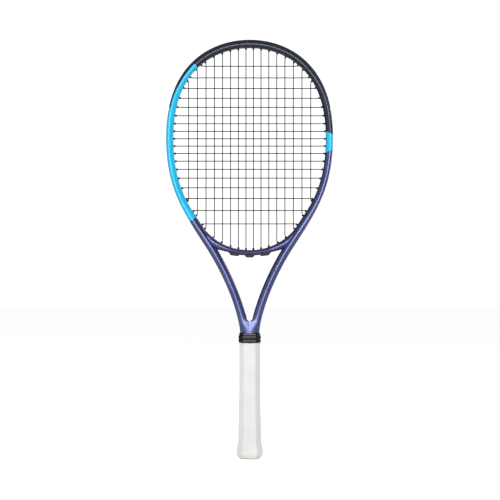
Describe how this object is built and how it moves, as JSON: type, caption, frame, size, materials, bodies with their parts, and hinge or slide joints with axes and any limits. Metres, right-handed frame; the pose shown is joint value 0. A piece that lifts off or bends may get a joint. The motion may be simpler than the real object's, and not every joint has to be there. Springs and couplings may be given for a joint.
{
  "type": "tennis racket",
  "caption": "Adult tennis racket with an oval strung head, open throat, black head guard and a white wrapped eight-sided grip.",
  "frame": {"origin": "middle of the flat butt end of the handle", "axes": "+Z from the butt to the tip of the head, X across the string bed, Y through the string bed"},
  "size_m": [0.2736, 0.0392, 0.6861],
  "materials": {
    "frame_paint": "clear-coated pearl paint on a carbon moulding",
    "black_nylon": "satin moulded nylon",
    "string": "smooth monofilament",
    "pallet_foam": "hard foam skin",
    "white_plastic": "satin moulding",
    "steel": "bright wire",
    "grip_wrap": "soft synthetic leather wrap",
    "tape": "satin tape",
    "collar_rubber": "satin ribbed rubber"
  },
  "bodies": {
    "racket": {"frame_hairpin": "frame_paint", "throat_bridge": "frame_paint", "bumper_guard": "black_nylon", "left_grommet_strip": "black_nylon", "right_grommet_strip": "black_nylon", "throat_grommet_strip": "black_nylon", "main_string": "string", "cross_string": "string", "front_pallet": "pallet_foam", "back_pallet": "pallet_foam", "butt_cap": "white_plastic", "left_butt_staple": "steel", "right_butt_staple": "steel", "grip_tack": "steel", "grip": "grip_wrap", "finishing_tape": "tape", "rubber_collar": "collar_rubber"},
    "door": {"trap_door": "white_plastic"}
  },
  "joints": [
    {"name": "trap_door_hinge", "type": "hinge", "parent": "racket", "child": "door", "pos_m": [0, 0.005, 0.0016], "axis": [1, 0, 0], "range_deg": [0, 95]}
  ]
}
